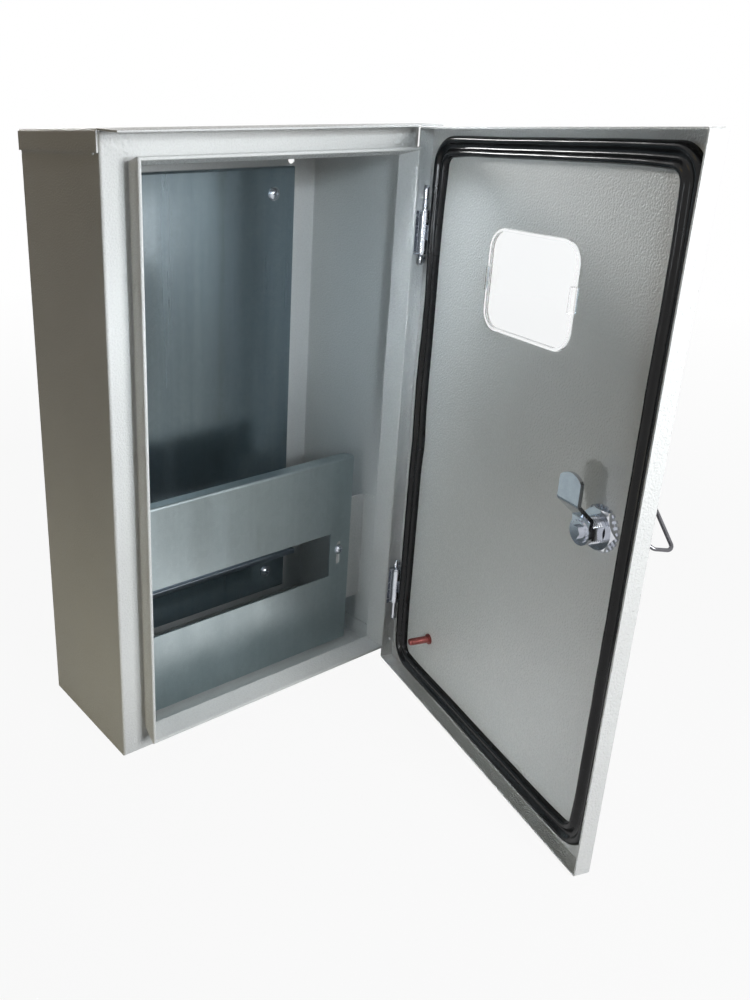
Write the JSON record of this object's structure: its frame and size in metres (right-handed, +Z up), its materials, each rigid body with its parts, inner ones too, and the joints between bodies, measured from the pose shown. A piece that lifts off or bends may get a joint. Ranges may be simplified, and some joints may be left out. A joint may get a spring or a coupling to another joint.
{
  "type": "electric meter box",
  "caption": "Grey sheet-steel wall box for an electricity meter and a row of breakers, with a hinged door, clear window, rubber seal, cam lock with key, mounting plate, rail and slotted cover.",
  "frame": {"origin": "centre of the four wall fixing holes, on the back face of the box", "axes": "+Z up, +Y into the wall, +X to the right seen from the front"},
  "size_m": [0.3024, 0.4241, 0.5],
  "materials": {
    "painted_sheet": "fine powder coat",
    "galvanised_sheet": "galvanised",
    "zinc_plate": "zinc plated",
    "bright_metal": "bright plated",
    "seal_rubber": "smooth moulded",
    "clear_plastic": "clear moulded",
    "copper": "copper plated"
  },
  "bodies": {
    "box": {"body_wrap": "painted_sheet", "top_cap": "painted_sheet", "bottom_tray": "painted_sheet", "mounting_plate": "galvanised_sheet", "plate_spacers": "zinc_plate", "plate_screws": "zinc_plate", "din_rail": "galvanised_sheet", "rail_spacers": "zinc_plate", "rail_screws": "zinc_plate", "cover_plate": "galvanised_sheet", "cover_screws": "zinc_plate", "left_cover_bracket": "painted_sheet", "right_cover_bracket": "painted_sheet", "upper_hinge_leaf": "zinc_plate", "lower_hinge_leaf": "zinc_plate", "upper_hinge_pin": "zinc_plate", "lower_hinge_pin": "zinc_plate"},
    "door": {"door_panel": "painted_sheet", "door_seal": "seal_rubber", "window_pane": "clear_plastic", "upper_hinge_barrel": "zinc_plate", "lower_hinge_barrel": "zinc_plate", "earth_stud": "copper", "lock_housing": "bright_metal", "lock_washer": "bright_metal", "lock_nut": "bright_metal"},
    "lock": {"lock_core": "bright_metal", "lock_cam": "bright_metal", "cam_washer": "bright_metal", "cam_screw": "bright_metal", "lock_key": "bright_metal", "key_bow": "bright_metal"}
  },
  "joints": [
    {"name": "door_hinge", "type": "hinge", "parent": "box", "child": "door", "pos_m": [0.141, -0.1488, 0], "axis": [0, 0, 1], "range_deg": [-72, 18]},
    {"name": "lock_turn", "type": "hinge", "parent": "door", "child": "lock", "pos_m": [0.07072, -0.38515, 0.0025], "axis": [0.9511, -0.309, 0], "range_deg": [0, 90]}
  ]
}
